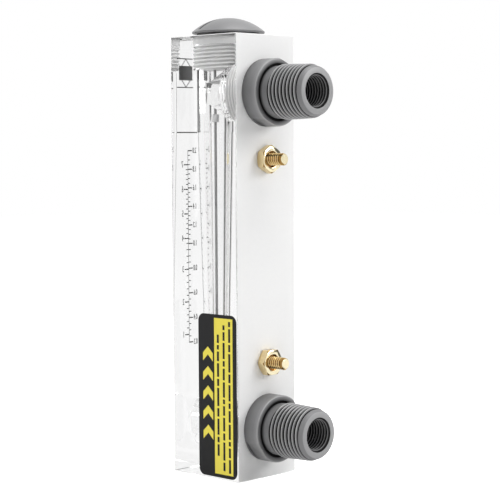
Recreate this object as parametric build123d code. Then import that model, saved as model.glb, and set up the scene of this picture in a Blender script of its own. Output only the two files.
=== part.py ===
from build123d import *
import math
import os

# The rotameter stands on its acrylic block. The origin is the middle of the block's bottom face,
# +Z runs up the metering bore and +Y points out of the back, where both ports and both studs are.
# All sizes are in millimetres.

# Acrylic block, with its white backing film on the back face
block_width = 32.7
block_depth = 36.4
block_height = 175.0
edge_bevel = 0.25
film_thickness = 0.2
film_margin = 0.3

# Ports in the back, each with a tapped mouth for a pipe connector
lower_port_height = 20.2
upper_port_drop = 22.8
port_bore_radius = 9.9
port_thread_radius = 11.1
port_thread_runout = 3.5
front_wall = 6.4

# Metering bore, which widens upwards so that more flow lifts the float higher
bore_offset = 1.9
bore_foot_radius = 5.3
bore_top_radius = 8.8
chamber_radius = 9.0
chamber_below_port = 15.2

# Domed top plug with a coin slot, screwed into the block over a flat gasket
plug_thread_radius = 10.9
plug_reach = 13.4
plug_rim_radius = 14.5
plug_rim_height = 0.7
plug_dome_height = 5.5
slot_width = 1.6
slot_depth = 4.8
slot_turn = -12.0
gasket_thickness = 1.2
gasket_width = 1.6
thread_lead = 0.4

# Guide rod, its two stop beads and the float that slides between them
rod_radius = 1.0
rod_end_reach = 5.0
bead_radius = 2.7
bead_height = 3.2
bead_round = 0.7
top_bead_rise = 4.0
foot_bead_sink = 1.9
float_cone_height = 13.0
float_rim_height = 1.2
float_shoulder_drop = 1.5
float_neck_radius = 2.7
float_neck_height = 4.6
float_foot_radius = 2.2

# Pipe connectors: tapped nose inside, tapered pipe thread outside, collar with two wrench flats
collar_radius = 13.25
collar_length = 7.2
collar_base = 1.0
collar_edge = 0.5
flat_distance = 12.5
upper_flat_turn = -22.5
lower_flat_turn = -52.0
groove_width = 1.0
groove_depth = 0.8
shank_radius = 10.2
shank_length = 3.2
pipe_thread_radius = 10.6
pipe_thread_length = 14.5
pipe_thread_grooves = 8
pipe_thread_depth = 1.1
pipe_thread_crest = 0.45
nose_length = 2.6
nose_radius = 9.0
mouth_radius = 6.8
tapped_radius = 5.95
tapped_length = 12.0
passage_radius = 4.8

# Connector seals
seal_section = 1.5

# Brass mounting studs with hexagon nuts
stud_from_port = 26.0
stud_radius = 2.415
stud_reach = 8.0
stud_length_out = 10.2
stud_chamfer = 0.45
nut_across_flats = 9.7
nut_thickness = 3.6
nut_sink_radius = 3.3
nut_face_inset = 0.1
upper_nut_turn = 30.0
lower_nut_turn = 0.0

# Adhesive label on the side of the block
label_width = 21.3
label_height = 64.6
label_thickness = 0.15
label_corner = 3.0
label_lift = 0.9
label_inset = 0.1

# Clearances
thread_clearance = 0.05
push_clearance = 0.02
running_clearance = 0.08
rim_clearance = 0.3
rest_gap = 0.1
plug_to_connector = 0.4

# Stations that follow from the sizes above
block_back = block_depth / 2
back_plane = block_back + film_thickness
bore_y = -bore_offset
upper_port_height = block_height - upper_port_drop
lower_stud_height = lower_port_height + stud_from_port
upper_stud_height = upper_port_height - stud_from_port
bore_top_height = upper_port_height - chamber_below_port
ledge_height = block_height - plug_reach
insert_reach = back_plane - (bore_y + plug_thread_radius) - plug_to_connector
seal_bore_radius = port_thread_radius + seal_section
seal_bore_depth = seal_section - film_thickness + push_clearance
rod_foot = lower_port_height - port_bore_radius - rod_end_reach
rod_top = ledge_height + rod_end_reach
foot_bead_height = lower_port_height + port_bore_radius - foot_bead_sink
top_bead_height = bore_top_height + top_bead_rise
float_foot = foot_bead_height + bead_height + rest_gap
float_rim_foot = float_foot + float_cone_height
float_rim_top = float_rim_foot + float_rim_height
float_top = float_rim_top + float_shoulder_drop + float_neck_height
float_travel = top_bead_height - rest_gap - float_top
nose_start = collar_length + shank_length + pipe_thread_length


def bore_radius(height):
    """Radius of the tapered metering bore at a height above the block's bottom."""
    share = (height - lower_port_height) / (bore_top_height - lower_port_height)
    return bore_foot_radius + (bore_top_radius - bore_foot_radius) * share


def turned(points):
    """Solid turned about Z from a closed outline of (radius, height) points."""
    outline = Polyline(*[(radius, 0, height) for radius, height in points], close=True)
    return revolve(make_face(outline), axis=Axis.Z)


def upright(radius, bottom, top):
    """Cylinder on the metering bore's axis between two heights."""
    rod = Cylinder(radius, top - bottom, align=(Align.CENTER, Align.CENTER, Align.MIN))
    return Pos(0, bore_y, bottom) * rod


def facing_back(shape, height, turn=0.0):
    """Places a shape whose own Z becomes +Y, with its origin on the back plane at a height."""
    return Pos(0, back_plane, height) * Rot(-90, 0, 0) * Rot(0, 0, turn) * shape


def back_hole(radius, depth, height):
    """Cylinder that cuts inwards from the back plane, square to it."""
    tool = Cylinder(radius, depth, align=(Align.CENTER, Align.CENTER, Align.MAX))
    return facing_back(tool, height)


def meter_block():
    """Acrylic block with the metering bore, the chamber, both ports and the blind holes."""
    block = Box(block_width, block_depth, block_height, align=(Align.CENTER, Align.CENTER, Align.MIN))
    block = chamfer(block.edges(), edge_bevel)
    taper = Cone(
        bore_foot_radius,
        bore_top_radius,
        bore_top_height - lower_port_height,
        align=(Align.CENTER, Align.CENTER, Align.MIN),
    )
    block -= Pos(0, bore_y, lower_port_height) * taper
    block -= upright(chamber_radius, bore_top_height, ledge_height)
    block -= upright(plug_thread_radius + thread_clearance, ledge_height, block_height)
    for height, depth in (
        (upper_port_height, back_plane - bore_y),
        (lower_port_height, back_plane + block_depth / 2 - front_wall),
    ):
        block -= back_hole(port_bore_radius, depth, height)
        block -= back_hole(port_thread_radius + thread_clearance, insert_reach + port_thread_runout, height)
        block -= back_hole(seal_bore_radius, film_thickness + seal_bore_depth, height)
    for height in (lower_stud_height, upper_stud_height):
        block -= back_hole(stud_radius + push_clearance, stud_reach + push_clearance, height)
    block -= upright(rod_radius + push_clearance, rod_foot - push_clearance, lower_port_height)
    return block


def white_back_film():
    """Opaque white film over the block's back face, cut out at the ports and the studs."""
    film = Box(
        block_width - 2 * film_margin,
        film_thickness,
        block_height - 2 * film_margin,
        align=(Align.CENTER, Align.MIN, Align.MIN),
    )
    film = Pos(0, block_back, film_margin) * film
    for height in (lower_port_height, upper_port_height):
        film -= back_hole(seal_bore_radius, film_thickness, height)
    for height in (lower_stud_height, upper_stud_height):
        film -= back_hole(stud_radius + push_clearance, film_thickness, height)
    return film


def top_plug():
    """Domed plug: a spherical cap with a coin slot over a threaded stem with a rod socket."""
    rim_foot = block_height + gasket_thickness
    rim_top = rim_foot + plug_rim_height
    dome_top = rim_top + plug_dome_height
    sphere_radius = (plug_rim_radius**2 + plug_dome_height**2) / (2 * plug_dome_height)
    stem_foot = ledge_height + rest_gap
    outline = Polyline(
        (0, 0, dome_top),
        (0, 0, stem_foot),
        (plug_thread_radius - thread_lead, 0, stem_foot),
        (plug_thread_radius, 0, stem_foot + thread_lead),
        (plug_thread_radius, 0, rim_foot),
        (plug_rim_radius, 0, rim_foot),
        (plug_rim_radius, 0, rim_top),
    )
    half_angle = math.asin(plug_rim_radius / sphere_radius) / 2
    arc_middle = dome_top - sphere_radius + sphere_radius * math.cos(half_angle)
    crown = ThreePointArc(
        (plug_rim_radius, 0, rim_top),
        (sphere_radius * math.sin(half_angle), 0, arc_middle),
        (0, 0, dome_top),
    )
    plug = Pos(0, bore_y, 0) * revolve(make_face(outline + crown), axis=Axis.Z)
    slot = Box(4 * plug_rim_radius, slot_width, 2 * slot_depth)
    plug -= Pos(0, bore_y, dome_top) * Rot(0, 0, slot_turn) * slot
    plug -= upright(rod_radius + push_clearance, stem_foot, rod_top + push_clearance)
    return plug


def plug_gasket():
    """Flat rubber gasket under the plug's rim."""
    inner = plug_thread_radius + thread_clearance
    ring = upright(inner + gasket_width, block_height, block_height + gasket_thickness)
    return ring - upright(inner, block_height, block_height + gasket_thickness)


def guide_rod():
    """Steel rod from the blind hole under the lower port up into the plug's socket."""
    return chamfer(upright(rod_radius, rod_foot, rod_top).edges(), rod_radius / 4)


def stop_bead(height):
    """Rubber bead pushed on the rod, which ends the float's travel."""
    bead = upright(bead_radius, height, height + bead_height)
    bead = fillet(bead.edges(), bead_round)
    return bead - upright(rod_radius + push_clearance, height, height + bead_height)


def meter_float():
    """Steel float: a cone up to the reading rim, a shoulder and a guide neck, bored for the rod."""
    hole = rod_radius + running_clearance
    rim = bore_radius(float_rim_foot) - rim_clearance
    shoulder_top = float_rim_top + float_shoulder_drop
    body = turned([
        (hole, float_foot),
        (float_foot_radius, float_foot),
        (rim, float_rim_foot),
        (rim, float_rim_top),
        (float_neck_radius, shoulder_top),
        (float_neck_radius, float_top - hole / 2),
        (float_neck_radius - hole / 2, float_top),
        (hole, float_top),
    ])
    return Pos(0, bore_y, 0) * body


def pipe_thread_rings(start):
    """Outline of the pipe thread as separate rings: flat crests with a V groove after each but the last."""
    pitch = (pipe_thread_length - pipe_thread_crest) / pipe_thread_grooves
    points = []
    for groove in range(pipe_thread_grooves):
        crest_start = start + groove * pitch
        crest_end = crest_start + pipe_thread_crest
        groove_middle = (crest_end + crest_start + pitch) / 2
        points.append((pipe_thread_radius, crest_start))
        points.append((pipe_thread_radius, crest_end))
        points.append((pipe_thread_radius - pipe_thread_depth, groove_middle))
    points.append((pipe_thread_radius, start + pipe_thread_length - pipe_thread_crest))
    return points


def connector(height, flat_turn):
    """Pipe connector screwed into a port: stem, collar with two flats, shank, thread and nose."""
    stem_radius = port_thread_radius
    collar_end = collar_length
    groove_outer = shank_radius + groove_width
    thread_start = collar_end + shank_length
    tip = nose_start + nose_length
    mouth_bevel = mouth_radius - tapped_radius
    tapped_foot = tip - mouth_bevel - tapped_length
    body = turned([
        (passage_radius, -insert_reach),
        (stem_radius - thread_lead, -insert_reach),
        (stem_radius, -insert_reach + thread_lead),
        (stem_radius, 0),
        (collar_radius, 0),
        (collar_radius, collar_end - collar_edge),
        (collar_radius - collar_edge, collar_end),
        (groove_outer, collar_end),
        (groove_outer, collar_end - groove_depth),
        (shank_radius, collar_end - groove_depth),
        (shank_radius, thread_start),
        *pipe_thread_rings(thread_start),
        (pipe_thread_radius, nose_start),
        (shank_radius, nose_start),
        (nose_radius, tip),
        (mouth_radius, tip),
        (tapped_radius, tip - mouth_bevel),
        (tapped_radius, tapped_foot),
        (passage_radius, tapped_foot - (tapped_radius - passage_radius)),
    ])
    flat_length = collar_end - collar_base
    offcut = Box(4 * collar_radius, collar_radius, flat_length, align=(Align.CENTER, Align.MIN, Align.MIN))
    for side in (0, 180):
        body -= Rot(0, 0, side) * Pos(0, flat_distance, collar_base) * offcut
    return facing_back(body, height, flat_turn)


def connector_seal(height):
    """Rubber ring in the port's mouth under the connector's collar."""
    section = seal_section / 2 - push_clearance
    ring = Torus(port_thread_radius + seal_section / 2, section)
    return facing_back(Pos(0, 0, -seal_section / 2) * ring, height)


def stud(height):
    """Brass stud screwed into the block, with a bevelled free end."""
    length = stud_reach + stud_length_out
    bar = Pos(0, 0, -stud_reach) * Cylinder(stud_radius, length, align=(Align.CENTER, Align.CENTER, Align.MIN))
    bar = chamfer(bar.edges().group_by(Axis.Z)[-1], stud_chamfer)
    return facing_back(bar, height)


def hex_nut(height, turn):
    """Hexagon nut against the film, bevelled at both ends and sunk round its hole."""
    hexagon = RegularPolygon(nut_across_flats / 2, 6, major_radius=False)
    nut = extrude(hexagon, nut_thickness)
    corner = nut_across_flats / 2 / math.cos(math.radians(30))
    face_radius = nut_across_flats / 2 - nut_face_inset
    bevel = (corner - face_radius) * math.tan(math.radians(30))
    nut &= turned([
        (0, 0),
        (face_radius, 0),
        (corner, bevel),
        (corner, nut_thickness - bevel),
        (face_radius, nut_thickness),
        (0, nut_thickness),
    ])
    hole = stud_radius + thread_clearance
    sink = nut_sink_radius - hole
    nut -= turned([
        (0, -rest_gap),
        (hole, -rest_gap),
        (hole, nut_thickness - sink),
        (nut_sink_radius, nut_thickness),
        (nut_sink_radius, nut_thickness + rest_gap),
        (0, nut_thickness + rest_gap),
    ])
    return facing_back(nut, height, turn)


def side_label():
    """Adhesive label with rounded corners on the +X side, beside the back edge."""
    label = Box(label_thickness, label_width, label_height, align=(Align.MIN, Align.MAX, Align.MIN))
    label = fillet(label.edges().filter_by(Axis.X), label_corner)
    return Pos(block_width / 2, block_back - edge_bevel - label_inset, label_lift) * label


nodes = {
    "meter_block": meter_block(),
    "white_back_film": white_back_film(),
    "top_plug": top_plug(),
    "plug_gasket": plug_gasket(),
    "guide_rod": guide_rod(),
    "lower_stop_bead": stop_bead(foot_bead_height),
    "upper_stop_bead": stop_bead(top_bead_height),
    "float": meter_float(),
    "lower_connector": connector(lower_port_height, lower_flat_turn),
    "upper_connector": connector(upper_port_height, upper_flat_turn),
    "lower_connector_seal": connector_seal(lower_port_height),
    "upper_connector_seal": connector_seal(upper_port_height),
    "lower_stud": stud(lower_stud_height),
    "upper_stud": stud(upper_stud_height),
    "lower_stud_nut": hex_nut(lower_stud_height, lower_nut_turn),
    "upper_stud_nut": hex_nut(upper_stud_height, upper_nut_turn),
    "side_label": side_label(),
}

os.makedirs("parts", exist_ok=True)
for name, shape in nodes.items():
    export_step(shape, f"parts/{name}.step")
print("float travel", round(float_travel, 3))
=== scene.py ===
import math

import bpy
from mathutils import Matrix, Vector


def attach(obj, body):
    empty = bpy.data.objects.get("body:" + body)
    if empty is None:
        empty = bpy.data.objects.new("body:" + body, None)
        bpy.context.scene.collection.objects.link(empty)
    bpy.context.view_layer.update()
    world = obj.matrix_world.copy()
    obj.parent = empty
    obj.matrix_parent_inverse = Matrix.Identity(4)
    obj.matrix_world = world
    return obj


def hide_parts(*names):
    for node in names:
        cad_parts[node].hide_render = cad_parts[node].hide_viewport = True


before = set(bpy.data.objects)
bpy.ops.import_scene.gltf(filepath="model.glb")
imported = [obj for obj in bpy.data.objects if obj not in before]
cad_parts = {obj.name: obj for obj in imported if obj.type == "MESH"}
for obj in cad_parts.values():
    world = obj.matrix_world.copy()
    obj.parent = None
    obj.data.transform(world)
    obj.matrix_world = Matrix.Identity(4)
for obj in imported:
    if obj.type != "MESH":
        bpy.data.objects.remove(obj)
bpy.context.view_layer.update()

mm = 0.001

# Floor, sky, lamps and camera. The sky and the floor are white to the camera. Glass shows one soft
# dark flag low beside the set and looks through the floor, and gloss shows a second flag too. The
# floor keeps the object's shadow.


def combine(tree, way, first, second=0.0):
    """Math node on two sockets, on a socket and a number, or on one socket alone."""
    node = tree.nodes.new("ShaderNodeMath")
    node.operation = way
    for place, value in enumerate((first, second)):
        if isinstance(value, (int, float)):
            node.inputs[place].default_value = value
        else:
            tree.links.new(value, node.inputs[place])
    return node.outputs[0]


def flag_group():
    """Node group: how bright the sky is in a direction, with a soft dark flag low beside the set."""
    group = bpy.data.node_groups.new("dark_flag", "ShaderNodeTree")
    for label in ("Middle", "Half Width", "Soft Edge", "Dark"):
        group.interface.new_socket(label, in_out="INPUT", socket_type="NodeSocketFloat")
    group.interface.new_socket("Direction", in_out="INPUT", socket_type="NodeSocketVector")
    group.interface.new_socket("Level", in_out="OUTPUT", socket_type="NodeSocketFloat")
    into = group.nodes.new("NodeGroupInput")
    back = group.nodes.new("NodeGroupOutput")
    axes = group.nodes.new("ShaderNodeSeparateXYZ")
    group.links.new(into.outputs["Direction"], axes.inputs[0])
    bearing = combine(group, "ARCTAN2", axes.outputs["Y"], axes.outputs["X"])
    offset = combine(group, "SUBTRACT", bearing, into.outputs["Middle"])
    edge = group.nodes.new("ShaderNodeMapRange")
    edge.interpolation_type = "SMOOTHSTEP"
    group.links.new(combine(group, "ABSOLUTE", offset), edge.inputs["Value"])
    group.links.new(into.outputs["Half Width"], edge.inputs["From Min"])
    group.links.new(into.outputs["Soft Edge"], edge.inputs["From Max"])
    group.links.new(into.outputs["Dark"], edge.inputs["To Min"])
    edge.inputs["To Max"].default_value = 1.0
    steep = group.nodes.new("ShaderNodeMapRange")
    steep.interpolation_type = "SMOOTHSTEP"
    steep.inputs["From Min"].default_value = 0.25
    steep.inputs["From Max"].default_value = 0.4
    group.links.new(combine(group, "ABSOLUTE", axes.outputs["Z"]), steep.inputs["Value"])
    group.links.new(combine(group, "MAXIMUM", edge.outputs[0], steep.outputs[0]), back.inputs["Level"])
    return group


dark_flag = flag_group()


def add_flag(tree, direction, middle, half_width, soft_edge, dark):
    """Flag in a tree: its middle's bearing, and where its dark part and its edge end, in degrees."""
    flag = tree.nodes.new("ShaderNodeGroup")
    flag.node_tree = dark_flag
    flag.inputs["Middle"].default_value = math.radians(middle)
    flag.inputs["Half Width"].default_value = math.radians(half_width)
    flag.inputs["Soft Edge"].default_value = math.radians(soft_edge)
    flag.inputs["Dark"].default_value = dark
    tree.links.new(direction, flag.inputs["Direction"])
    return flag.outputs["Level"]


world = bpy.data.worlds.new("studio")
bpy.context.scene.world = world
world.use_nodes = True
sky = world.node_tree
sky.nodes.clear()
sky_out = sky.nodes.new("ShaderNodeOutputWorld")
sky_mix = sky.nodes.new("ShaderNodeMixShader")
sky_light = sky.nodes.new("ShaderNodeBackground")
sky_light.inputs["Color"].default_value = (1.0, 1.0, 1.0, 1.0)
sky_light.inputs["Strength"].default_value = 0.3
sky_seen = sky.nodes.new("ShaderNodeBackground")
sky_seen.inputs["Strength"].default_value = 1.0
sky_path = sky.nodes.new("ShaderNodeLightPath")
camera_ray = sky_path.outputs["Is Camera Ray"]
gloss_ray = sky_path.outputs["Is Glossy Ray"]
glass_ray = sky_path.outputs["Is Transmission Ray"]
sky_way = sky.nodes.new("ShaderNodeTexCoord").outputs["Generated"]
glass_level = add_flag(sky, sky_way, middle=155.5, half_width=11, soft_edge=18, dark=0.1)
gloss_level = add_flag(sky, sky_way, middle=-30, half_width=28, soft_edge=55, dark=0.12)
not_gloss = combine(sky, "MAXIMUM", combine(sky, "SUBTRACT", 1.0, gloss_ray), glass_ray)
gloss_level = combine(sky, "MAXIMUM", gloss_level, not_gloss)
level = combine(sky, "MINIMUM", glass_level, gloss_level)
level = combine(sky, "MAXIMUM", level, camera_ray)
sky.links.new(level, sky_seen.inputs["Color"])
seen_ray = combine(sky, "MAXIMUM", combine(sky, "MAXIMUM", gloss_ray, glass_ray), camera_ray)
sky.links.new(seen_ray, sky_mix.inputs["Fac"])
sky.links.new(sky_light.outputs[0], sky_mix.inputs[1])
sky.links.new(sky_seen.outputs[0], sky_mix.inputs[2])
sky.links.new(sky_mix.outputs[0], sky_out.inputs["Surface"])
bpy.context.scene.view_settings.view_transform = "Standard"

floor_height = -0.0004
floor_glow = 0.75
bpy.ops.object.select_all(action="DESELECT")
bpy.ops.mesh.primitive_plane_add(size=4.0, location=(0, 0, floor_height))
floor = bpy.context.object
floor.name = "studio_floor"
floor_finish = bpy.data.materials.new("studio_floor")
floor_finish.use_nodes = True
tree = floor_finish.node_tree
tree.nodes.clear()
out = tree.nodes.new("ShaderNodeOutputMaterial")
both = tree.nodes.new("ShaderNodeAddShader")
matt = tree.nodes.new("ShaderNodeBsdfDiffuse")
matt.inputs["Color"].default_value = (0.87, 0.87, 0.87, 1.0)
glow = tree.nodes.new("ShaderNodeEmission")
glow.inputs["Color"].default_value = (1.0, 1.0, 1.0, 1.0)
in_glass = tree.nodes.new("ShaderNodeBsdfTransparent")
final = tree.nodes.new("ShaderNodeMixShader")
seen = tree.nodes.new("ShaderNodeLightPath")
glow_seen = combine(tree, "MULTIPLY", seen.outputs["Is Camera Ray"], floor_glow)
tree.links.new(glow_seen, glow.inputs["Strength"])
tree.links.new(matt.outputs[0], both.inputs[0])
tree.links.new(glow.outputs[0], both.inputs[1])
tree.links.new(seen.outputs["Is Transmission Ray"], final.inputs["Fac"])
tree.links.new(both.outputs[0], final.inputs[1])
tree.links.new(in_glass.outputs[0], final.inputs[2])
tree.links.new(final.outputs[0], out.inputs["Surface"])
floor.data.materials.append(floor_finish)


def soft_lamp(name, place, aim, size, power):
    """Large square lamp that looks at a point."""
    light = bpy.data.lights.new(name, "AREA")
    light.size = size
    light.energy = power
    lamp = bpy.data.objects.new(name, light)
    lamp.location = place
    lamp.rotation_euler = (Vector(aim) - Vector(place)).to_track_quat("-Z", "Y").to_euler()
    bpy.context.scene.collection.objects.link(lamp)


middle = (0.0, 0.0, 0.09)
soft_lamp("top_lamp", (-0.1, 0.2, 1.0), middle, 0.6, 6.4)
soft_lamp("back_lamp", (-0.7, 1.0, 0.6), middle, 0.5, 6.8)
soft_lamp("side_lamp", (1.1, 0.1, 0.35), middle, 0.7, 1.8)
soft_lamp("front_lamp", (0.3, -1.1, 0.5), middle, 0.7, 5.0)

# The camera stands where the photograph was taken from, as fitted to the block's corners.
camera_place = (0.456422, 0.457233, 0.131326)
camera_turn = 134.453
camera_tilt = 86.314
camera_roll = -0.356
bpy.ops.object.camera_add()
camera = bpy.context.object
camera.data.sensor_width = 36.0
camera.data.lens = 115.94
camera.data.clip_start = 0.02
camera.matrix_world = (
    Matrix.Translation(camera_place)
    @ Matrix.Rotation(math.radians(camera_turn), 4, "Z")
    @ Matrix.Rotation(math.radians(camera_tilt), 4, "X")
    @ Matrix.Rotation(math.radians(camera_roll), 4, "Z")
)
bpy.context.scene.camera = camera

# Acrylic block: one sawn and polished bar of clear cast acrylic, bored from the top for the plug, the
# chamber and the taper, and drilled and tapped from the back for both connectors and both studs.

block_half_width = 16.35
block_half_depth = 18.2
block_height = 175.0
bevel = 0.3
back_plane = 18.4
bore_y = -1.9
bore_foot_radius = 5.3
bore_top_radius = 8.8
chamber_radius = 9.0
chamber_foot = 137.0
plug_foot = 161.6
plug_neck = 171.4
plug_thread_radius = 10.9
plug_thread_root = 9.97
plug_thread_top = 172.4
plug_hole_radius = 9.95
plug_pitch = 1.5
lower_port = 20.2
upper_port = 152.2
lower_turn = -52.0
upper_turn = -22.5
lower_port_end = -11.8
port_radius = 9.9
port_thread_radius = 11.1
port_thread_root = 10.12
port_thread_depth = 12.5
port_pitch = 1.5
seal_seat_radius = 12.6
seal_seat_depth = 1.3
lower_stud = 46.2
upper_stud = 126.2
stud_hole_radius = 2.435
stud_hole_depth = 8.02
rod_hole_radius = 1.02
rod_hole_foot = 5.28
# The cutting tools reach this height, and this far behind the back plane, so that they cut through.
above_top = 176.0
past_back = 0.5
# The block overlaps the film and the threads by this much, so that no air shows between them.
contact = 0.05


def only(piece):
    """Selects one object alone and makes it the active one."""
    bpy.ops.object.select_all(action="DESELECT")
    piece.select_set(True)
    bpy.context.view_layer.objects.active = piece


def lathe(name, outline, steps=128):
    """Solid turned about Z from (radius, height) points in mm, the ends on the axis or closed."""
    mesh = bpy.data.meshes.new(name)
    count = len(outline)
    sides = [(index, index + 1) for index in range(count - 1)]
    if outline[0][0] > 0 or outline[-1][0] > 0:
        sides.append((count - 1, 0))
    mesh.from_pydata([(radius * mm, 0, height * mm) for radius, height in outline], sides, [])
    piece = bpy.data.objects.new(name, mesh)
    bpy.context.scene.collection.objects.link(piece)
    only(piece)
    bpy.ops.object.mode_set(mode="EDIT")
    bpy.ops.mesh.select_all(action="SELECT")
    bpy.ops.mesh.spin(steps=steps, angle=2 * math.pi, center=(0, 0, 0), axis=(0, 0, 1))
    bpy.ops.mesh.select_all(action="SELECT")
    bpy.ops.mesh.remove_doubles(threshold=0.001 * mm)
    bpy.ops.mesh.normals_make_consistent(inside=False)
    bpy.ops.object.mode_set(mode="OBJECT")
    return piece


def screw(name, crest, root, pitch, foot, top, taper=0.0, steps=72):
    """Threaded solid about Z between two heights: sharp 60 degree flanks with small flats, in mm."""
    turns = math.ceil((top - foot) / pitch) + 2
    start = foot - pitch
    flat = pitch / 8
    run = (pitch - 2 * flat) / 2
    outline = [(root, 0.0), (crest, run), (crest, run + flat), (root, 2 * run + flat), (root, pitch)]
    mesh = bpy.data.meshes.new(name)
    points = [(radius * mm, 0, (start + height) * mm) for radius, height in outline]
    mesh.from_pydata(points, [(index, index + 1) for index in range(len(points) - 1)], [])
    piece = bpy.data.objects.new(name, mesh)
    bpy.context.scene.collection.objects.link(piece)
    only(piece)
    winding = piece.modifiers.new("winding", "SCREW")
    winding.axis = "Z"
    winding.angle = 2 * math.pi
    winding.screw_offset = pitch * mm
    winding.iterations = turns
    winding.steps = steps
    winding.render_steps = steps
    winding.use_merge_vertices = True
    winding.merge_threshold = 0.001 * mm
    bpy.ops.object.modifier_apply(modifier=winding.name)
    bpy.ops.object.mode_set(mode="EDIT")
    bpy.ops.mesh.select_all(action="SELECT")
    bpy.ops.mesh.remove_doubles(threshold=0.002 * mm)
    bpy.ops.mesh.select_all(action="DESELECT")
    bpy.ops.mesh.select_mode(type="EDGE")
    bpy.ops.mesh.select_non_manifold(
        extend=False, use_wire=False, use_boundary=True, use_multi_face=False,
        use_non_contiguous=False, use_verts=False,
    )
    bpy.ops.mesh.edge_face_add()
    bpy.ops.mesh.select_all(action="SELECT")
    bpy.ops.mesh.normals_make_consistent(inside=False)
    bpy.ops.object.mode_set(mode="OBJECT")
    outermost = max(piece.data.polygons, key=lambda face: face.center.xy.length)
    if outermost.normal.xy.dot(outermost.center.xy) < 0:
        bpy.ops.object.mode_set(mode="EDIT")
        bpy.ops.mesh.select_all(action="SELECT")
        bpy.ops.mesh.flip_normals()
        bpy.ops.object.mode_set(mode="OBJECT")
    if taper:
        for point in piece.data.vertices:
            share = 1 - taper * (point.co.z / mm - foot) / crest
            point.co.x *= share
            point.co.y *= share
    return piece


def carve(piece, tool, way="DIFFERENCE"):
    """Cuts, joins or keeps what two closed meshes share, and drops the tool."""
    only(piece)
    step = piece.modifiers.new("carve", "BOOLEAN")
    step.operation = way
    step.solver = "MANIFOLD"
    step.object = tool
    bpy.ops.object.modifier_apply(modifier=step.name)
    bpy.data.objects.remove(tool)


def face_back(piece, height, turn=0.0):
    """Turns a solid from Z to +Y and sets it on the back plane at a height, in mm."""
    only(piece)
    piece.rotation_euler = (0, 0, math.radians(turn))
    bpy.ops.object.transform_apply(location=False, rotation=True, scale=False)
    piece.rotation_euler = (math.radians(-90), 0, 0)
    piece.location = (0, back_plane * mm, height * mm)
    bpy.ops.object.transform_apply(location=True, rotation=True, scale=True)


def onto_bore(piece):
    """Moves a solid from the Z axis onto the bore's axis."""
    only(piece)
    piece.location = (0, bore_y * mm, 0)
    bpy.ops.object.transform_apply(location=True, rotation=False, scale=False)


def smooth(piece, angle=32):
    """Shades a mesh smooth where its faces meet at less than an angle."""
    only(piece)
    bpy.ops.object.shade_smooth_by_angle(angle=math.radians(angle))


def shader_tree(name):
    """New material with a Principled shader, its nodes and its shader node."""
    finish = bpy.data.materials.new(name)
    finish.use_nodes = True
    nodes = finish.node_tree.nodes
    return finish, finish.node_tree, nodes["Principled BSDF"]


bpy.ops.object.select_all(action="DESELECT")
bpy.ops.mesh.primitive_cube_add(size=1.0, location=(0, contact * mm / 2, block_height * mm / 2))
acrylic = bpy.context.object
acrylic.name = "acrylic_block"
acrylic.scale = (2 * block_half_width * mm, (2 * block_half_depth + contact) * mm, block_height * mm)
bpy.ops.object.transform_apply(location=True, rotation=True, scale=True)
bpy.ops.object.mode_set(mode="EDIT")
bpy.ops.mesh.select_all(action="DESELECT")
bpy.ops.object.mode_set(mode="OBJECT")
for edge in acrylic.data.edges:
    ends = [acrylic.data.vertices[index].co for index in edge.vertices]
    edge.select = abs(ends[0].z - ends[1].z) < mm
bpy.ops.object.mode_set(mode="EDIT")
bpy.ops.mesh.select_mode(type="EDGE")
bpy.ops.mesh.bevel(offset=bevel * mm, segments=2, affect="EDGES")
bpy.ops.object.mode_set(mode="OBJECT")

main_bore = lathe(
    "main_bore",
    [
        (0, lower_port), (bore_foot_radius, lower_port), (bore_top_radius, chamber_foot),
        (chamber_radius, chamber_foot), (chamber_radius, plug_foot), (plug_hole_radius, plug_foot),
        (plug_hole_radius, plug_neck), (plug_thread_radius - contact, plug_neck),
        (plug_thread_radius - contact, above_top), (0, above_top),
    ],
)
plug_hole = screw(
    "plug_hole", plug_thread_radius - contact, plug_thread_root - contact, plug_pitch,
    plug_foot, plug_thread_top,
)
plug_span = lathe("plug_span", [(0, plug_foot), (11.5, plug_foot), (11.5, plug_neck), (0, plug_neck)], 96)
carve(plug_hole, plug_span, "INTERSECT")
carve(main_bore, plug_hole, "UNION")
onto_bore(main_bore)
carve(acrylic, main_bore)

for height, port_end, turn in ((lower_port, lower_port_end, lower_turn), (upper_port, bore_y, upper_turn)):
    depth = back_plane - port_end
    port = lathe("port", [
        (0, -depth), (port_radius, -depth), (port_radius, -seal_seat_depth),
        (seal_seat_radius, -seal_seat_depth), (seal_seat_radius, past_back), (0, past_back),
    ])
    tapped = screw(
        "tapped", port_thread_radius - contact, port_thread_root - contact, port_pitch,
        -port_thread_depth, 0.0,
    )
    tapped_span = lathe(
        "tapped_span", [(0, -port_thread_depth), (11.6, -port_thread_depth), (11.6, 0), (0, 0)], 96
    )
    carve(tapped, tapped_span, "INTERSECT")
    carve(port, tapped, "UNION")
    face_back(port, height, turn)
    carve(acrylic, port)
for height in (lower_stud, upper_stud):
    stud_hole = lathe("stud_hole", [
        (0, -stud_hole_depth), (stud_hole_radius, -stud_hole_depth),
        (stud_hole_radius, past_back), (0, past_back),
    ], 48)
    face_back(stud_hole, height)
    carve(acrylic, stud_hole)
rod_hole = lathe("rod_hole", [
    (0, rod_hole_foot), (rod_hole_radius, rod_hole_foot), (rod_hole_radius, lower_port), (0, lower_port),
], 32)
onto_bore(rod_hole)
carve(acrylic, rod_hole)
smooth(acrylic, 20)

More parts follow.
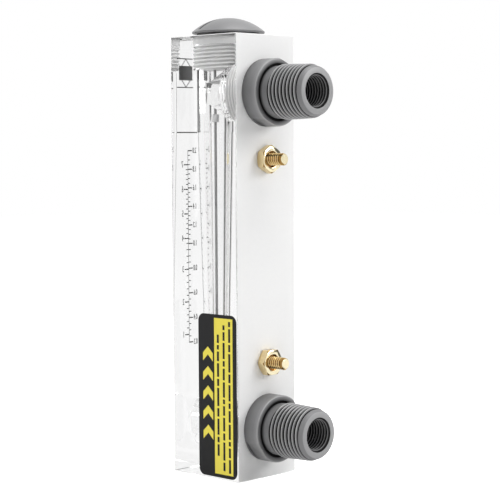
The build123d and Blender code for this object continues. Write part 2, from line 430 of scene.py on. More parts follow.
clear_acrylic = bpy.data.materials.new("clear_acrylic")
clear_acrylic.use_nodes = True
tree = clear_acrylic.node_tree
tree.nodes.clear()
out = tree.nodes.new("ShaderNodeOutputMaterial")
mix = tree.nodes.new("ShaderNodeMixShader")
glass = tree.nodes.new("ShaderNodeBsdfPrincipled")
glass.inputs["Base Color"].default_value = (0.955, 0.955, 0.955, 1.0)
glass.inputs["Roughness"].default_value = 0.0
glass.inputs["IOR"].default_value = 1.49
glass.inputs["Transmission Weight"].default_value = 1.0
through = tree.nodes.new("ShaderNodeBsdfTransparent")
path = tree.nodes.new("ShaderNodeLightPath")
tree.links.new(path.outputs["Is Shadow Ray"], mix.inputs["Fac"])
tree.links.new(glass.outputs[0], mix.inputs[1])
tree.links.new(through.outputs[0], mix.inputs[2])
# Painted light: a ray that has bounced very often inside the block ends on a pale painted glow,
# where it would end on black.
deep = tree.nodes.new("ShaderNodeMixShader")
painted_glow = tree.nodes.new("ShaderNodeEmission")
painted_glow.inputs["Color"].default_value = (0.92, 0.92, 0.92, 1.0)
many_bounces = combine(tree, "GREATER_THAN", path.outputs["Glossy Depth"], 2.5)
many_steps = combine(tree, "GREATER_THAN", path.outputs["Ray Depth"], 9.5)
tree.links.new(combine(tree, "MAXIMUM", many_bounces, many_steps), deep.inputs["Fac"])
tree.links.new(mix.outputs[0], deep.inputs[1])
tree.links.new(painted_glow.outputs[0], deep.inputs[2])
tree.links.new(deep.outputs[0], out.inputs["Surface"])
clear_acrylic.cycles.emission_sampling = "NONE"

# The top face's bevelled edge is matt and pale white, with a fine mottle.
pale_top_edge, tree, pale_edge_shader = shader_tree("pale_top_edge")
pale_edge_shader.inputs["Roughness"].default_value = 0.6
where = tree.nodes.new("ShaderNodeTexCoord")
scratch = tree.nodes.new("ShaderNodeTexNoise")
scratch.inputs["Scale"].default_value = 1500.0
tree.links.new(where.outputs["Object"], scratch.inputs["Vector"])
haze = tree.nodes.new("ShaderNodeMix")
haze.data_type = "RGBA"
haze.inputs[6].default_value = (0.86, 0.86, 0.86, 1.0)
haze.inputs[7].default_value = (0.96, 0.96, 0.96, 1.0)
tree.links.new(scratch.outputs["Fac"], haze.inputs[0])
tree.links.new(haze.outputs[2], pale_edge_shader.inputs["Base Color"])

# Painted shade on the bore: its wall turns dark where a ray in the block meets it at a grazing
# angle, which draws dark lines along the bore.
shaded_bore_wall = clear_acrylic.copy()
shaded_bore_wall.name = "shaded_bore_wall"
tree = shaded_bore_wall.node_tree
path = tree.nodes["Light Path"]
slant = tree.nodes.new("ShaderNodeLayerWeight")
graze = tree.nodes.new("ShaderNodeMapRange")
graze.interpolation_type = "SMOOTHSTEP"
graze.inputs["From Min"].default_value = 0.62
graze.inputs["From Max"].default_value = 0.85
graze.inputs["To Max"].default_value = 0.6
tree.links.new(slant.outputs["Facing"], graze.inputs["Value"])
inside = tree.nodes.new("ShaderNodeNewGeometry").outputs["Backfacing"]
share = combine(tree, "MULTIPLY", graze.outputs[0], inside)
share = combine(tree, "MULTIPLY", share, path.outputs["Is Transmission Ray"])
painted_grazing_shade = tree.nodes.new("ShaderNodeMixShader")
painted_shade_tone = tree.nodes.new("ShaderNodeBsdfDiffuse")
painted_shade_tone.inputs["Color"].default_value = (0.2, 0.2, 0.2, 1.0)
out = tree.nodes["Material Output"]
polished = out.inputs["Surface"].links[0].from_socket
tree.links.new(share, painted_grazing_shade.inputs["Fac"])
tree.links.new(polished, painted_grazing_shade.inputs[1])
tree.links.new(painted_shade_tone.outputs[0], painted_grazing_shade.inputs[2])
tree.links.new(painted_grazing_shade.outputs[0], out.inputs["Surface"])

# The front half of the chamber's wall takes more of this painted shade.
chamber_wall = shaded_bore_wall.copy()
chamber_wall.name = "chamber_wall"
graze = chamber_wall.node_tree.nodes["Map Range"]
graze.inputs["From Min"].default_value = 0.42
graze.inputs["From Max"].default_value = 0.52
graze.inputs["To Max"].default_value = 0.88

acrylic.data.materials.clear()
for finish in (clear_acrylic, pale_top_edge, shaded_bore_wall, chamber_wall):
    acrylic.data.materials.append(finish)
for face in acrylic.data.polygons:
    high = face.center.z > (block_height - bevel + 0.01) * mm
    reach = math.hypot(face.center.x, face.center.y - bore_y * mm) / mm
    if high and 0.2 < face.normal.z < 0.98 and max(abs(face.center.x), abs(face.center.y)) > 16.0 * mm:
        face.material_index = 1
    elif 5.0 < reach < 9.05 and abs(face.normal.z) < 0.2 and lower_port < face.center.z / mm < plug_foot:
        in_front = face.center.z > chamber_foot * mm and face.center.y < bore_y * mm
        face.material_index = 3 if in_front else 2
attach(acrylic, "meter")
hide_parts("meter_block")

# White back film: an opaque white sheet bonded over the whole back face and cut out round the ports
# and the studs. It is matt and very slightly mottled.


def speckle_group():
    """Node group: fine noise on Object coordinates between two shades, and its own height."""
    group = bpy.data.node_groups.new("speckle", "ShaderNodeTree")
    group.interface.new_socket("Dark", in_out="INPUT", socket_type="NodeSocketColor")
    group.interface.new_socket("Light", in_out="INPUT", socket_type="NodeSocketColor")
    group.interface.new_socket("Scale", in_out="INPUT", socket_type="NodeSocketFloat")
    group.interface.new_socket("Color", in_out="OUTPUT", socket_type="NodeSocketColor")
    group.interface.new_socket("Grain", in_out="OUTPUT", socket_type="NodeSocketFloat")
    into = group.nodes.new("NodeGroupInput")
    back = group.nodes.new("NodeGroupOutput")
    where = group.nodes.new("ShaderNodeTexCoord")
    noise = group.nodes.new("ShaderNodeTexNoise")
    noise.inputs["Detail"].default_value = 3.0
    noise.inputs["Roughness"].default_value = 0.6
    shade = group.nodes.new("ShaderNodeMix")
    shade.data_type = "RGBA"
    group.links.new(where.outputs["Object"], noise.inputs["Vector"])
    group.links.new(into.outputs["Scale"], noise.inputs["Scale"])
    group.links.new(noise.outputs["Fac"], shade.inputs[0])
    group.links.new(into.outputs["Dark"], shade.inputs[6])
    group.links.new(into.outputs["Light"], shade.inputs[7])
    group.links.new(shade.outputs[2], back.inputs["Color"])
    group.links.new(noise.outputs["Fac"], back.inputs["Grain"])
    return group


speckle = speckle_group()


def add_speckle(tree, dark, light, scale):
    """Speckle group in a material, with its two shades and its scale."""
    grain = tree.nodes.new("ShaderNodeGroup")
    grain.node_tree = speckle
    grain.inputs["Dark"].default_value = (*dark, 1.0)
    grain.inputs["Light"].default_value = (*light, 1.0)
    grain.inputs["Scale"].default_value = scale
    return grain


def vary_roughness(tree, shader, mask, low, high):
    """Roughness that follows a mask between two values."""
    spread = tree.nodes.new("ShaderNodeMapRange")
    spread.inputs["To Min"].default_value = low
    spread.inputs["To Max"].default_value = high
    tree.links.new(mask, spread.inputs["Value"])
    tree.links.new(spread.outputs[0], shader.inputs["Roughness"])


def speckled(name, dark, light, scale, roughness, bump=0.0, **values):
    """Material with the speckle group on its colour and, where asked, a fine bump."""
    finish, tree, shader = shader_tree(name)
    grain = add_speckle(tree, dark, light, scale)
    tree.links.new(grain.outputs["Color"], shader.inputs["Base Color"])
    vary_roughness(tree, shader, grain.outputs["Grain"], *roughness)
    if bump:
        relief = tree.nodes.new("ShaderNodeBump")
        relief.inputs["Strength"].default_value = bump
        relief.inputs["Distance"].default_value = 0.05 * mm
        tree.links.new(grain.outputs["Grain"], relief.inputs["Height"])
        tree.links.new(relief.outputs["Normal"], shader.inputs["Normal"])
    for socket, value in values.items():
        shader.inputs[socket.replace("_", " ")].default_value = value
    return finish


def dress(node, finish):
    """Gives one of the frame's own solids its finish."""
    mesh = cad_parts[node].data
    mesh.materials.clear()
    mesh.materials.append(finish)


white_film = speckled("white_film", (0.84, 0.84, 0.84), (0.88, 0.88, 0.875), 700.0, (0.42, 0.5), 0.05)
dress("white_back_film", white_film)

# Top plug: one grey moulding with a shallow dome, a coin slot, a plain neck and a threaded stem wound
# with white tape. It is screwed into the bore's mouth over a rubber gasket, and its socket holds the rod.

grey_plastic = speckled(
    "grey_plastic", (0.22, 0.22, 0.225), (0.25, 0.25, 0.255), 1600.0, (0.36, 0.46), 0.25
)
dome_reach = 14.5
dome_rise = 5.5
dome_top = 182.4
rim_foot = 176.2
plug_end = 161.7
below_plug = 160.0
plug_stem_radius = 10.0
rod_socket_top = 166.62
coin_slot_width = 1.6
coin_slot_depth = 4.8
coin_slot_turn = -12
cutter_length = 60.0
tape_reach = 9.5
dome_radius = (dome_reach**2 + dome_rise**2) / (2 * dome_rise)
dome_steps = 12
dome_line = []
for step in range(dome_steps + 1):
    angle = math.asin(dome_reach / dome_radius) * step / dome_steps
    dome_line.append((dome_radius * math.sin(angle), dome_top - dome_radius * (1 - math.cos(angle))))
plug = lathe(
    "top_plug_moulding",
    dome_line
    + [
        (dome_reach, rim_foot + 0.2), (dome_reach - 0.06, rim_foot + 0.07), (dome_reach - 0.2, rim_foot),
        (plug_thread_radius, rim_foot), (plug_thread_radius, plug_neck + 0.2),
        (plug_stem_radius, plug_neck - 0.2), (plug_stem_radius, plug_end), (0, plug_end),
    ],
)
plug_thread = screw(
    "plug_thread", plug_thread_radius, plug_thread_root, plug_pitch, plug_foot, plug_thread_top
)
thread_foot = plug_end + 0.05
thread_head = plug_neck - 0.05
plug_thread_span = lathe("plug_thread_span", [
    (0, thread_foot), (10.3, thread_foot), (11.2, thread_foot + 0.65),
    (11.2, thread_head), (0, thread_head),
], 96)
carve(plug_thread, plug_thread_span, "INTERSECT")
carve(plug, plug_thread, "UNION")
rod_socket = lathe("rod_socket", [
    (0, below_plug), (rod_hole_radius, below_plug),
    (rod_hole_radius, rod_socket_top), (0, rod_socket_top),
], 32)
carve(plug, rod_socket)
bpy.ops.object.select_all(action="DESELECT")
bpy.ops.mesh.primitive_cube_add(size=1.0, location=(0, 0, dome_top * mm))
coin_slot = bpy.context.object
coin_slot.scale = (cutter_length * mm, coin_slot_width * mm, 2 * coin_slot_depth * mm)
coin_slot.rotation_euler = (0, 0, math.radians(coin_slot_turn))
bpy.ops.object.transform_apply(location=True, rotation=True, scale=True)
carve(plug, coin_slot)
smooth(plug)
plug.data.materials.clear()
plug.data.materials.append(grey_plastic)


def read_painted_light(tree):
    """Mask that the piece's mesh carries for painted light: 0 the deepest painted shade, as in a groove, 1
    the palest tone, as on a crest.
    """
    mark = tree.nodes.new("ShaderNodeAttribute")
    mark.attribute_name = "relief"
    return mark.outputs["Fac"]


def mark_painted_light(piece, rule, lowest=0.0):
    """Stores that mask on a piece about Z, from a rule on the radius and the height, in mm."""
    relief = piece.data.attributes.new("relief", "FLOAT", "POINT")
    for point in piece.data.vertices:
        value = rule(math.hypot(point.co.x, point.co.y) / mm, point.co.z / mm)
        relief.data[point.index].value = min(max(value, lowest), 1.0)


# Sealing tape: pale, with painted shade that darkens each thread's root to grey where the mask is 0.
tape_with_painted_shade, tree, shader = shader_tree("tape_with_painted_shade")
grain = add_speckle(tree, (0.84, 0.84, 0.84), (0.94, 0.94, 0.94), 500.0)
wound = tree.nodes.new("ShaderNodeMix")
wound.data_type = "RGBA"
wound.inputs[6].default_value = (0.55, 0.55, 0.55, 1.0)
tree.links.new(read_painted_light(tree), wound.inputs[0])
tree.links.new(grain.outputs["Color"], wound.inputs[7])
tree.links.new(wound.outputs[2], shader.inputs["Base Color"])
shader.inputs["Roughness"].default_value = 0.5


def wind_tape(piece, low, high, inner):
    """Gives the tape's finish, with its painted shade, to a piece's faces between two heights and beyond a
    radius, in mm.
    """
    if tape_with_painted_shade.name not in piece.data.materials:
        piece.data.materials.append(tape_with_painted_shade)
    for face in piece.data.polygons:
        reach = math.hypot(face.center.x, face.center.y) / mm
        if low < face.center.z / mm < high and reach > inner:
            face.material_index = 1


end_face_top = plug_end + 0.04


def plug_painted_light(reach, height):
    """Mask on the plug's tape: half-way on its neck and end face as painted light, and painted shade darker
    at the thread's root than at its crest.
    """
    if height > plug_neck or height < end_face_top:
        return 0.5
    return (reach - plug_thread_root) / (plug_thread_radius - plug_thread_root)


mark_painted_light(plug, plug_painted_light)
# Painted light: the neck in the block and the plug's end face take the tape's pale tone, half-way to a
# crest's, so that they look brightly lit.
wind_tape(plug, below_plug, block_height, tape_reach)
wind_tape(plug, plug_foot, end_face_top, 0.0)
onto_bore(plug)
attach(plug, "meter")
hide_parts("top_plug")

black_rubber = speckled("black_rubber", (0.018, 0.018, 0.018), (0.03, 0.03, 0.03), 2200.0, (0.6, 0.75), 0.3)
dark_rubber = speckled("dark_rubber", (0.07, 0.07, 0.07), (0.10, 0.10, 0.10), 2200.0, (0.6, 0.75), 0.3)
dress("plug_gasket", dark_rubber)

# Guide rod: a thin steel rod held by the plug's socket and by a hole in the block's foot. Two rubber
# stop beads are pushed onto it, and the turned steel float slides between them.

dark_steel = speckled(
    "dark_steel", (0.2, 0.2, 0.2), (0.28, 0.28, 0.28), 3000.0, (0.35, 0.45), Metallic=0.6
)
dress("guide_rod", dark_steel)
grey_rubber = speckled("grey_rubber", (0.58, 0.58, 0.585), (0.66, 0.66, 0.665), 2200.0, (0.55, 0.7), 0.3)
dress("lower_stop_bead", grey_rubber)
dress("upper_stop_bead", grey_rubber)

turned_steel, tree, shader = shader_tree("turned_steel")
shader.inputs["Metallic"].default_value = 1.0
shader.inputs["Base Color"].default_value = (0.62, 0.61, 0.59, 1.0)
where = tree.nodes.new("ShaderNodeTexCoord")
rings = tree.nodes.new("ShaderNodeTexWave")
rings.wave_type = "BANDS"
rings.bands_direction = "Z"
rings.inputs["Scale"].default_value = 2500.0
rings.inputs["Distortion"].default_value = 0.4
tree.links.new(where.outputs["Object"], rings.inputs["Vector"])
vary_roughness(tree, shader, rings.outputs["Fac"], 0.22, 0.34)
dress("float", turned_steel)

# Pipe connectors: one grey moulding each, screwed into the tapped ports against a rubber ring. The
# nose has a tapered pipe thread outside and a smaller one inside, and the collar has two flats.

pipe_pitch = 1.814
pipe_crest = 10.82
pipe_root = 9.62
pipe_thread_foot = 11.0
pipe_taper = 1 / 32
mouth_pitch = 1.411
mouth_groove = 6.62
mouth_crest = 5.95
mouth_radius = 6.6
mouth_foot = 14.6
passage_radius = 4.8
stem_radius = 10.1
stem_end = -9.0
nose_end = 27.5
collar_radius = 13.25
collar_top = 7.2
flats_apart = 25.0
flats_foot = 1.0
offcut_depth = 13.25
offcut_height = 7.2

connector = lathe(
    "connector",
    [
        (passage_radius, stem_end), (stem_radius, stem_end), (stem_radius, 0.0), (13.05, 0.0),
        (collar_radius, 0.15), (collar_radius, 6.75), (13.15, 6.98), (12.9, 7.15), (12.65, collar_top),
        (11.25, collar_top), (11.2, 6.45), (10.25, 6.4), (10.24, 7.1), (10.22, 8.2),
        (10.15, 10.3), (9.6, 10.9), (9.2, 25.1), (9.75, 25.6), (9.7, 26.1), (9.45, 26.9), (9.15, 27.35),
        (8.9, nose_end), (6.85, nose_end), (mouth_radius, 27.25), (mouth_radius, mouth_foot),
        (passage_radius, 13.4),
    ],
)
pipe_thread = screw(
    "pipe_thread", pipe_crest, pipe_root, pipe_pitch, pipe_thread_foot, 24.9, taper=pipe_taper
)
pipe_span = lathe(
    "pipe_span",
    [(7.6, 10.5), (9.9, 10.5), (11.2, 11.5), (11.2, 24.4), (9.7, 25.3), (7.6, 25.3)],
)
carve(pipe_thread, pipe_span, "INTERSECT")
carve(connector, pipe_thread, "UNION")
stem_thread = screw(
    "stem_thread", port_thread_radius, port_thread_root, port_pitch, -port_thread_depth, 0.0
)
stem_span = lathe("stem_span", [(6.0, -8.95), (10.3, -8.95), (11.3, -8.2), (11.3, -1.6), (6.0, -1.6)])
carve(stem_thread, stem_span, "INTERSECT")
carve(connector, stem_thread, "UNION")
mouth_wall = lathe("mouth_wall", [(5.2, 14.7), (7.2, 14.7), (7.2, 27.2), (5.2, 27.2)])
mouth_thread = screw("mouth_thread", mouth_groove, mouth_crest, mouth_pitch, 14.5, 27.3)
carve(mouth_wall, mouth_thread)
mouth_bevel = lathe("mouth_bevel", [(0, 26.6), (5.85, 26.7), (6.7, 27.15), (6.75, 27.6), (0, 27.6)], 96)
carve(mouth_wall, mouth_bevel)
carve(connector, mouth_wall, "UNION")

# The two wrench flats go through the collar and leave its thin base disc whole.
for side in (-1, 1):
    place = side * (flats_apart + offcut_depth) / 2
    bpy.ops.object.select_all(action="DESELECT")
    height = flats_foot + offcut_height / 2
    bpy.ops.mesh.primitive_cube_add(size=1.0, location=(0, place * mm, height * mm))
    offcut = bpy.context.object
    offcut.scale = (cutter_length * mm, offcut_depth * mm, offcut_height * mm)
    bpy.ops.object.transform_apply(location=True, rotation=True, scale=True)
    carve(connector, offcut)


def connector_painted_light(reach, height):
    """Painted light on the moulding: painted shade in gaps, thread grooves and down the collar towards the
    film, 0.62 on plain parts, and a painted highlight up to 1 on crests, edges and the nose's face.
    """
    if height < 0.0:
        return 0.75 * (reach - port_thread_root) / (port_thread_radius - port_thread_root)
    if reach < 7.0 and height < 27.4:
        return 1.05 * (mouth_groove - reach) / (mouth_groove - mouth_crest) - 0.42
    if reach < 9.0 and height > 27.2:
        return 0.8
    if 10.35 < height < 25.4 and reach > 9.0:
        crest = pipe_crest - pipe_taper * (height - pipe_thread_foot)
        return 1.6 * (reach - crest + pipe_crest - pipe_root) / (pipe_crest - pipe_root) - 0.5
    if 6.2 < height < 6.9 and reach < 11.4:
        return -0.3
    if 6.9 < height < 7.5 and reach < 11.4:
        return 0.2
    if reach > 12.8:
        return 0.85 if height > 6.9 else 0.33 + 0.063 * height
    return 0.62


mark_painted_light(connector, connector_painted_light, lowest=-0.6)

# Grey moulding with painted shade and painted highlight from the mask: its grooves darken almost to black,
# and its crests and edges turn pale.
moulded_grey, tree, shader = shader_tree("moulded_grey")
grain = add_speckle(tree, (0.195, 0.195, 0.2), (0.23, 0.23, 0.235), 1600.0)
painted_light_mask = read_painted_light(tree)
groove = tree.nodes.new("ShaderNodeMapRange")
groove.interpolation_type = "SMOOTHSTEP"
groove.inputs["From Max"].default_value = 0.7
tree.links.new(painted_light_mask, groove.inputs["Value"])
tree.links.new(combine(tree, "MULTIPLY", groove.outputs[0], 0.5), shader.inputs["Specular IOR Level"])
edge = tree.nodes.new("ShaderNodeMapRange")
edge.inputs["From Min"].default_value = 0.65
tree.links.new(painted_light_mask, edge.inputs["Value"])
painted_groove_shade = tree.nodes.new("ShaderNodeMix")
painted_groove_shade.data_type = "RGBA"
painted_groove_shade.inputs[6].default_value = (0.018, 0.018, 0.018, 1.0)
tree.links.new(groove.outputs[0], painted_groove_shade.inputs[0])
tree.links.new(grain.outputs["Color"], painted_groove_shade.inputs[7])
painted_crest_highlight = tree.nodes.new("ShaderNodeMix")
painted_crest_highlight.data_type = "RGBA"
painted_crest_highlight.inputs[7].default_value = (0.45, 0.45, 0.455, 1.0)
tree.links.new(edge.outputs[0], painted_crest_highlight.inputs[0])
tree.links.new(painted_groove_shade.outputs[2], painted_crest_highlight.inputs[6])
tree.links.new(painted_crest_highlight.outputs[2], shader.inputs["Base Color"])
vary_roughness(tree, shader, grain.outputs["Grain"], 0.36, 0.46)

upper = connector
upper.name = "upper_connector_moulding"
lower = upper.copy()
lower.data = upper.data.copy()
lower.name = "lower_connector_moulding"
bpy.context.scene.collection.objects.link(lower)
for piece, height, turn, node in (
    (lower, lower_port, lower_turn, "lower_connector"),
    (upper, upper_port, upper_turn, "upper_connector"),
):
    piece.data.materials.clear()
    piece.data.materials.append(moulded_grey)
    wind_tape(piece, stem_end, -0.2, tape_reach)
    face_back(piece, height, turn)
    smooth(piece)
    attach(piece, "meter")
    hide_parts(node)
dress("lower_connector_seal", black_rubber)
dress("upper_connector_seal", black_rubber)

# Brass studs and hexagon nuts: turned from bright brass bar. The studs are screwed into the block,
# and the nuts are run up to the film, where they clamp the panel in use.

bright_brass, tree, shader = shader_tree("bright_brass")
shader.inputs["Metallic"].default_value = 1.0
where = tree.nodes.new("ShaderNodeTexCoord")
cloud = tree.nodes.new("ShaderNodeTexNoise")
cloud.inputs["Scale"].default_value = 900.0
cloud.inputs["Detail"].default_value = 4.0
tree.links.new(where.outputs["Object"], cloud.inputs["Vector"])
# The tone follows the mask as painted light: dark brown as painted shade at 0, pale as a painted highlight
# at 1.
tone = tree.nodes.new("ShaderNodeValToRGB")
tone.color_ramp.elements[0].color = (0.16, 0.07, 0.012, 1.0)
tone.color_ramp.elements[1].color = (0.97, 0.87, 0.60, 1.0)
for place, colour in ((0.45, (0.50, 0.31, 0.10, 1.0)), (0.75, (0.86, 0.69, 0.39, 1.0))):
    stop = tone.color_ramp.elements.new(place)
    stop.color = colour
tree.links.new(read_painted_light(tree), tone.inputs[0])
tarnish = tree.nodes.new("ShaderNodeMapRange")
tarnish.inputs["To Min"].default_value = 0.86
tarnish.inputs["To Max"].default_value = 1.06
tree.links.new(cloud.outputs["Fac"], tarnish.inputs["Value"])
stained = tree.nodes.new("ShaderNodeVectorMath")
stained.operation = "SCALE"
tree.links.new(tone.outputs["Color"], stained.inputs[0])
tree.links.new(tarnish.outputs[0], stained.inputs["Scale"])
tree.links.new(stained.outputs[0], shader.inputs["Base Color"])
vary_roughness(tree, shader, cloud.outputs["Fac"], 0.1, 0.2)

stud_foot = -8.0
stud_end = 10.2
stud_pitch = 1.058
stud_core = 1.85
stud_thread_radius = 2.415
stud_thread_root = 1.8
stud_bar = lathe("stud_bar", [
    (0, stud_foot), (stud_core, stud_foot), (stud_core, 9.75), (1.5, stud_end), (0, stud_end),
], 64)
stud_thread = screw(
    "stud_thread", stud_thread_radius, stud_thread_root, stud_pitch, stud_foot, stud_end, steps=48
)
stud_span = lathe(
    "stud_span",
    [(0, -7.95), (2.0, -7.95), (2.6, -7.5), (2.6, 9.6), (1.97, stud_end - 0.05), (0, stud_end - 0.05)], 64,
)
carve(stud_thread, stud_span, "INTERSECT")
carve(stud_bar, stud_thread, "UNION")


def stud_painted_light(reach, height):
    """Painted shade brown in the thread's grooves and on its last turn, painted highlight bright on the end
    face, and pale in the block.
    """
    if not 0.0 < height < 10.1:
        return 1.0
    if height > 9.2:
        return 0.25
    return 0.12 + 0.58 * (reach - 1.9) / 0.5


mark_painted_light(stud_bar, stud_painted_light)

nut_across_flats = 9.7
nut_thickness = 3.6
nut_reach = 5.65
nut_hole_radius = 2.3
bpy.ops.object.select_all(action="DESELECT")
bpy.ops.mesh.primitive_cylinder_add(
    vertices=6,
    radius=nut_across_flats / 2 / math.cos(math.radians(30)) * mm,
    depth=nut_thickness * mm,
    location=(0, 0, nut_thickness / 2 * mm),
)
nut = bpy.context.object
nut.name = "nut"
nut.rotation_euler = (0, 0, math.radians(30))
bpy.ops.object.transform_apply(location=True, rotation=True, scale=True)
nut_span = lathe(
    "nut_span",
    [(0, 0.0), (4.7, 0.0), (nut_reach, 0.55), (nut_reach, 3.2), (5.0, nut_thickness), (0, nut_thickness)],
    96,
)
carve(nut, nut_span, "INTERSECT")
nut_hole = lathe("nut_hole", [
    (0, -0.5), (2.9, -0.5), (2.9, 0.0), (nut_hole_radius, 0.6), (nut_hole_radius, 2.6), (3.3, 3.55),
    (3.35, 4.0), (0, 4.0),
], 64)
carve(nut, nut_hole)
only(nut)
rounding = nut.modifiers.new("rounding", "BEVEL")
rounding.width = 0.12 * mm
rounding.segments = 2
rounding.limit_method = "ANGLE"
rounding.angle_limit = math.radians(40)
bpy.ops.object.modifier_apply(modifier=rounding.name)

# Painted light on the nut: its ends are bright as a painted highlight, its flats a little duller, and its
# edges and its hole dark as painted shade.
relief = nut.data.attributes.new("relief", "FLOAT", "FACE")
for face in nut.data.polygons:
    reach = math.hypot(face.center.x, face.center.y) / mm
    value = 0.4 if reach < 3.4 else 0.15
    if abs(face.normal.z) > 0.98:
        value = 1.0
    elif reach > 4.8 and abs(face.normal.z) < 0.05:
        value = 0.76
    relief.data[face.index].value = value

for height, turn, name in ((lower_stud, 0.0, "lower"), (upper_stud, 30.0, "upper")):
    for source, node, twist in ((stud_bar, name + "_stud", 0.0), (nut, name + "_stud_nut", turn)):
        piece = source.copy()
        piece.data = source.data.copy()
        piece.name = node + "_brass"
        bpy.context.scene.collection.objects.link(piece)
        face_back(piece, height, twist)
        smooth(piece)
        piece.data.materials.clear()
        piece.data.materials.append(bright_brass)
        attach(piece, "meter")
        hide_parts(node)
bpy.data.objects.remove(stud_bar)
bpy.data.objects.remove(nut)

# Scale: black ink printed on the front face. One axis carries two scales of plain numbers, tenths of
# gallons on the left and litres on the right. A long rule ends it, and above that stand two thin rules
# with a bar between them that has an arrow point at each end.

ink_black = speckled("ink_black", (0.05, 0.05, 0.05), (0.07, 0.07, 0.07), 3000.0, (0.5, 0.6))
ink_outer = -18.19
ink_inner = -18.13
axis_x = -0.5
scale_foot = 51.7
scale_bend = 92.0
lower_step = 5.04
upper_step = 3.77
litres_per_gallon = 3.785
long_tick = (4.2, 0.25)
short_tick = (2.1, 0.18)
number_gap = 4.9
gallon_size = 2.3
litre_size = 2.6
# A numeral's height as a share of the text object's size.
numeral_share = 0.7
ink_pieces = []


def ink_box(left, right, low, high):
    """Printed bar on the front face between two places across and two heights, in mm."""
    bpy.ops.object.select_all(action="DESELECT")
    bpy.ops.mesh.primitive_cube_add(
        size=1.0,
        location=((left + right) / 2 * mm, (ink_outer + ink_inner) / 2 * mm, (low + high) / 2 * mm),
    )
    bar = bpy.context.object
    bar.scale = (abs(right - left) * mm, (ink_inner - ink_outer) * mm, (high - low) * mm)
    bpy.ops.object.transform_apply(location=True, rotation=True, scale=True)
    ink_pieces.append(bar)


def ink_number(words, side, height, tall, align):
    """Printed number on the front face, from a text object made a mesh."""
    bpy.ops.object.select_all(action="DESELECT")
    bpy.ops.object.text_add(location=(0, 0, 0))
    text = bpy.context.object
    text.data.body = words
    text.data.size = tall / numeral_share * mm
    text.data.align_x = align
    text.data.align_y = "CENTER"
    text.data.extrude = (ink_inner - ink_outer) / 2 * mm
    text.data.resolution_u = 3
    bpy.ops.object.convert(target="MESH")
    text = bpy.context.object
    text.rotation_euler = (math.radians(90), 0, 0)
    text.location = (side * mm, (ink_outer + ink_inner) / 2 * mm, height * mm)
    bpy.ops.object.transform_apply(location=True, rotation=True, scale=True)
    ink_pieces.append(text)


def ink_line(start, end, wide):
    """Printed thin line on the front face between two (across, height) points, in mm."""
    run = Vector((end[0] - start[0], end[1] - start[1]))
    bpy.ops.object.select_all(action="DESELECT")
    bpy.ops.mesh.primitive_cube_add(size=1.0, location=(0, 0, 0))
    stroke = bpy.context.object
    stroke.scale = (run.length * mm, (ink_inner - ink_outer) * mm, wide * mm)
    bpy.ops.object.transform_apply(location=True, rotation=True, scale=True)
    stroke.rotation_euler = (0, -math.atan2(run.y, run.x), 0)
    stroke.location = (
        (start[0] + end[0]) / 2 * mm, (ink_outer + ink_inner) / 2 * mm, (start[1] + end[1]) / 2 * mm
    )
    bpy.ops.object.transform_apply(location=True, rotation=True, scale=True)
    ink_pieces.append(stroke)


def gallon_height(tenths):
    """Height of a mark on the left scale, which has two even runs that meet at ten tenths."""
    if tenths <= 10:
        return scale_foot + lower_step * (tenths - 2)
    return scale_bend + upper_step * (tenths - 10)


def litre_height(litres):
    """Height of a mark on the right scale, which follows the same two runs."""
    return gallon_height(litres / litres_per_gallon * 10)


ink_box(axis_x - 0.1, axis_x + 0.1, gallon_height(2), gallon_height(20))
for tick in range(4, 41):
    height = gallon_height(tick / 2)
    reach, thick = long_tick if tick % 4 == 0 else short_tick
    ink_box(axis_x - reach, axis_x, height - thick, height + thick)
    if tick % 4 == 0:
        ink_number(f"{tick / 20:.1f}", axis_x - number_gap, height, gallon_size, "RIGHT")
for tick in range(5, 36):
    height = litre_height(tick / 5)
    reach, thick = long_tick if tick % 5 == 0 else short_tick
    ink_box(axis_x, axis_x + reach, height - thick, height + thick)
    if tick % 5 == 0:
        ink_number(str(tick // 5), axis_x + number_gap, height, litre_size, "LEFT")
ink_box(-10.2, 10.4, 136.8, 137.3)
ink_box(-6.5, 10.0, 154.95, 155.35)
ink_box(-6.5, 10.0, 166.45, 166.85)
ink_box(-5.9, 7.8, 158.0, 163.8)
for foot_height, point_height in ((163.7, 166.5), (158.1, 155.3)):
    for foot in (-3.8, 5.2):
        ink_line((foot, foot_height), (0.7, point_height), 0.3)

only(ink_pieces[0])
for part in ink_pieces:
    part.select_set(True)
bpy.ops.object.join()
scale_print = bpy.context.object
scale_print.name = "scale_print"
scale_print.data.materials.clear()
scale_print.data.materials.append(ink_black)
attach(scale_print, "meter")

# Side label: a printed plastic film with rounded corners, stuck on the lower part of the side face.
# It is charcoal with a yellow panel, plain upward flow marks and ruled lines, and it has no words.

charcoal_film = speckled(
    "charcoal_film", (0.014, 0.014, 0.015), (0.020, 0.020, 0.021), 1800.0, (0.5, 0.6), 0.1,
    Specular_IOR_Level=0.2,
)
yellow_print = speckled("yellow_print", (0.96, 0.80, 0.08), (0.98, 0.86, 0.10), 1800.0, (0.4, 0.5), 0.1)
label_base = 16.30
label_face = 16.44
yellow_face = 16.465
mark_face = 16.49
label_corner = 3.0
label_pieces = []


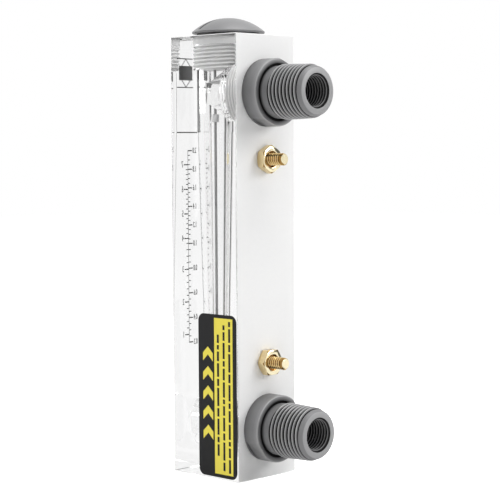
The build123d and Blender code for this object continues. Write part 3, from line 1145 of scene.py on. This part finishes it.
def label_plate(back, front, low, high, corner, face, finish):
    """Flat printed area on the side face between two places across and two heights, in mm."""
    bpy.ops.object.select_all(action="DESELECT")
    bpy.ops.mesh.primitive_cube_add(
        size=1.0,
        location=((label_base + face) / 2 * mm, (back + front) / 2 * mm, (low + high) / 2 * mm),
    )
    plate = bpy.context.object
    plate.scale = ((face - label_base) * mm, (front - back) * mm, (high - low) * mm)
    bpy.ops.object.transform_apply(location=True, rotation=True, scale=True)
    if corner:
        bpy.ops.object.mode_set(mode="EDIT")
        bpy.ops.mesh.select_all(action="DESELECT")
        bpy.ops.object.mode_set(mode="OBJECT")
        for edge in plate.data.edges:
            ends = [plate.data.vertices[index].co for index in edge.vertices]
            edge.select = abs(ends[0].x - ends[1].x) > 0.01 * mm
        bpy.ops.object.mode_set(mode="EDIT")
        bpy.ops.mesh.select_mode(type="EDGE")
        bpy.ops.mesh.bevel(offset=corner * mm, segments=10, affect="EDGES")
        bpy.ops.object.mode_set(mode="OBJECT")
    plate.data.materials.clear()
    plate.data.materials.append(finish)
    label_pieces.append(plate)


label_plate(-3.45, 17.85, 0.9, 65.5, label_corner, label_face, charcoal_film)
label_plate(5.5, 15.7, 2.3, 64.1, 0.0, yellow_face, yellow_print)

mark_back = -0.9
mark_front = 4.65
mark_middle = (mark_back + mark_front) / 2
mark_rise = 2.6
mark_thick = 3.2
sunk = 0.05 * mm
for low in (15.5, 23.3, 31.1, 38.9, 46.7):
    outline = [
        (mark_back, low), (mark_middle, low + mark_rise), (mark_front, low),
        (mark_front, low + mark_thick), (mark_middle, low + mark_rise + mark_thick),
        (mark_back, low + mark_thick),
    ]
    mesh = bpy.data.meshes.new("flow_mark")
    corners = [(label_face * mm - sunk, y * mm, z * mm) for y, z in outline]
    mesh.from_pydata(corners, [], [(0, 1, 4, 5), (1, 2, 3, 4)])
    mark = bpy.data.objects.new("flow_mark", mesh)
    bpy.context.scene.collection.objects.link(mark)
    only(mark)
    bpy.ops.object.mode_set(mode="EDIT")
    bpy.ops.mesh.select_all(action="SELECT")
    bpy.ops.mesh.extrude_region_move(
        TRANSFORM_OT_translate={"value": ((yellow_face - label_face) * mm + sunk, 0, 0)}
    )
    bpy.ops.mesh.select_all(action="SELECT")
    bpy.ops.mesh.normals_make_consistent(inside=False)
    bpy.ops.object.mode_set(mode="OBJECT")
    mark.data.materials.append(yellow_print)
    label_pieces.append(mark)

dashes = (4.6, 2.2, 6.4, 3.4, 7.2, 2.8, 5.4, 3.8, 1.8, 6.0)
dash_gap = 0.8
for back, front, low, high, first in (
    (7.05, 8.15, 9.5, 57.6, 0),
    (10.25, 11.35, 3.8, 61.5, 3),
    (13.35, 14.45, 3.2, 63.0, 6),
):
    place = low
    turn = first
    while place < high - 1.0:
        run = min(dashes[turn % len(dashes)], high - place)
        label_plate(back, front, place, place + run, 0.0, mark_face, charcoal_film)
        place += run + dash_gap
        turn += 1

bpy.ops.object.select_all(action="DESELECT")
for part in label_pieces:
    part.select_set(True)
bpy.context.view_layer.objects.active = label_pieces[0]
bpy.ops.object.join()
side_label = bpy.context.object
side_label.name = "side_label_print"
smooth(side_label, 25)
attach(side_label, "meter")
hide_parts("side_label")
